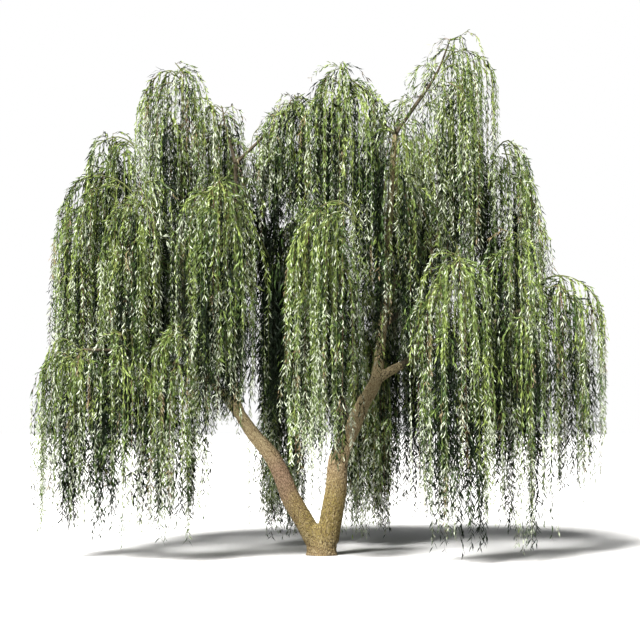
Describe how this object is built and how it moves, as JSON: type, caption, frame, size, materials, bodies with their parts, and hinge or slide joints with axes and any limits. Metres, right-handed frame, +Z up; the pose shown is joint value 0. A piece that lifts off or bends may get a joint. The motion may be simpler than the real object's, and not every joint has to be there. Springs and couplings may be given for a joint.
{
  "type": "weeping willow tree",
  "caption": "Broad weeping willow on a short trunk forked near the ground, with a tall leader, arching boughs and long hanging curtains of narrow leaves.",
  "frame": {"origin": "middle of the flat cut under the trunk, at ground level", "axes": "+Z up the trunk; +X across the wide side of the crown, towards the tall leader; -Y is the front of the crown"},
  "size_m": [10.2213, 7.2272, 9.6],
  "materials": {
    "bark": "matt, finely ridged ochre bark with yellow and pinkish grey patches",
    "bough_bark": "matt, smoother grey-brown young bark",
    "foliage": "satin green leaves, greyer beneath"
  },
  "bodies": {
    "root": {"back_centre_bough": "bough_bark", "back_centre_lobe": "foliage", "back_end_left_lobe": "foliage", "back_end_right_lobe": "foliage", "back_left_bough": "bough_bark", "back_left_lobe": "foliage", "back_outer_right_bough": "bough_bark", "back_right_bough": "bough_bark", "back_right_lobe": "foliage", "centre_front_bough": "bough_bark", "centre_front_curtain": "foliage", "centre_left_bough": "bough_bark", "centre_left_curtain": "foliage", "centre_right_curtain": "foliage", "inner_left_curtain": "foliage", "leader": "bark", "leader_left_arm": "bough_bark", "leader_right_arm": "bough_bark", "left_arm_lobe": "foliage", "left_bough": "bough_bark", "left_end_lobe": "foliage", "left_front_bough": "bough_bark", "left_front_curtain": "foliage", "left_high_lobe": "foliage", "left_outer_bough": "bough_bark", "left_stem": "bark", "low_back_left_tail": "foliage", "low_back_right_tail": "foliage", "lower_left_bough": "bough_bark", "lower_left_front_lobe": "foliage", "lower_left_inner_lobe": "foliage", "lower_left_lobe": "foliage", "right_arm_lobe": "foliage", "right_end_lobe": "foliage", "right_front_bough": "bough_bark", "right_front_curtain": "foliage", "right_high_bough": "bough_bark", "right_high_lobe": "foliage", "right_low_bough": "bough_bark", "right_outer_curtain": "foliage", "right_stem": "bark", "top_back_left_lobe": "foliage", "top_back_right_lobe": "foliage", "top_centre_dome": "foliage", "top_left_dome": "foliage", "top_right_dome": "foliage", "trunk": "bark", "upper_left_arm": "bough_bark", "upper_left_limb": "bough_bark", "upper_right_arm": "bough_bark"}
  },
  "joints": []
}
